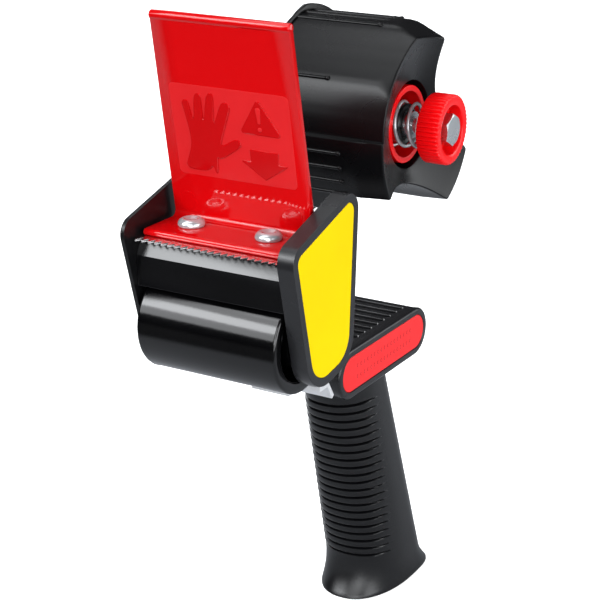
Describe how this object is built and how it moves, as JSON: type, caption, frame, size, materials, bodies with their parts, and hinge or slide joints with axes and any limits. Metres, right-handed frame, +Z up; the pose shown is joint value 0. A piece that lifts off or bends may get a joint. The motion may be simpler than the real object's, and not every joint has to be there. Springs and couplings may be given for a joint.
{
  "type": "packing tape dispenser",
  "caption": "Hand-held packing tape dispenser: raked grooved grip, side frame with roller and toothed cutter under a red flap, and a lobed tape hub with a sprung brake knob.",
  "frame": {"origin": "where the grip's axis meets the flat foot of the handle", "axes": "+Z up from the foot, +X across the tape towards the side with the brake knob, -Y towards the cutter in front"},
  "size_m": [0.0727, 0.1544, 0.2439],
  "materials": {
    "black_steel": "satin",
    "black_plastic": "satin",
    "rubber": "matt",
    "red_plastic": "gloss",
    "yellow_plastic": "satin",
    "bush_plastic": "satin",
    "steel": "satin",
    "dark_steel": "blackened",
    "zinc": "zinc plated",
    "chrome": "polished",
    "felt": "felt"
  },
  "bodies": {
    "frame": {"frame_plate": "black_steel", "base_bracket": "zinc", "bracket_screw": "dark_steel", "bracket_rivet": "zinc", "right_cover": "black_plastic", "yellow_panel": "yellow_plastic", "cover_screw_bar": "steel", "cover_screw_ear": "steel", "bar_screw_left": "steel", "blade_bar": "black_steel", "blade": "steel", "tape_flap": "red_plastic", "flap_screw_left": "chrome", "flap_screw_right": "chrome", "roller_axle": "steel", "axle_clip": "dark_steel", "body_housing": "black_plastic", "side_inlay_right": "red_plastic", "side_inlay_left": "red_plastic", "handle_core": "black_plastic", "handle_grip": "rubber", "handle_bolt": "steel", "foot_plug": "rubber", "hub_axle": "steel", "axle_nut": "zinc", "friction_disc": "felt", "brake_cup": "red_plastic", "tension_spring": "chrome"},
    "roller": {"roller": "black_plastic", "roller_bush_left": "bush_plastic", "roller_bush_right": "bush_plastic"},
    "hub": {"hub": "black_plastic", "hub_bush": "bush_plastic"},
    "washer": {"spring_washer": "zinc"},
    "knob": {"tension_knob": "red_plastic", "knob_bolt": "zinc"}
  },
  "joints": [
    {"name": "roller_spin", "type": "hinge", "parent": "frame", "child": "roller", "pos_m": [0, -0.10671, 0.1387], "axis": [1, 0, 0], "continuous": true},
    {"name": "hub_spin", "type": "hinge", "parent": "frame", "child": "hub", "pos_m": [0, -0.01291, 0.191], "axis": [1, 0, 0], "continuous": true},
    {"name": "knob_travel", "type": "slide", "parent": "frame", "child": "washer", "axis": [1, 0, 0], "range_m": [-0.002, 0], "deforming": ["tension_spring"]},
    {"name": "knob_turn", "type": "hinge", "parent": "washer", "child": "knob", "pos_m": [0, -0.01291, 0.191], "axis": [1, 0, 0], "range_deg": [-720.5, 0]}
  ],
  "couplings": [
    {"joint": "knob_turn", "follows": "knob_travel", "rad_per_m": 6283.2}
  ]
}
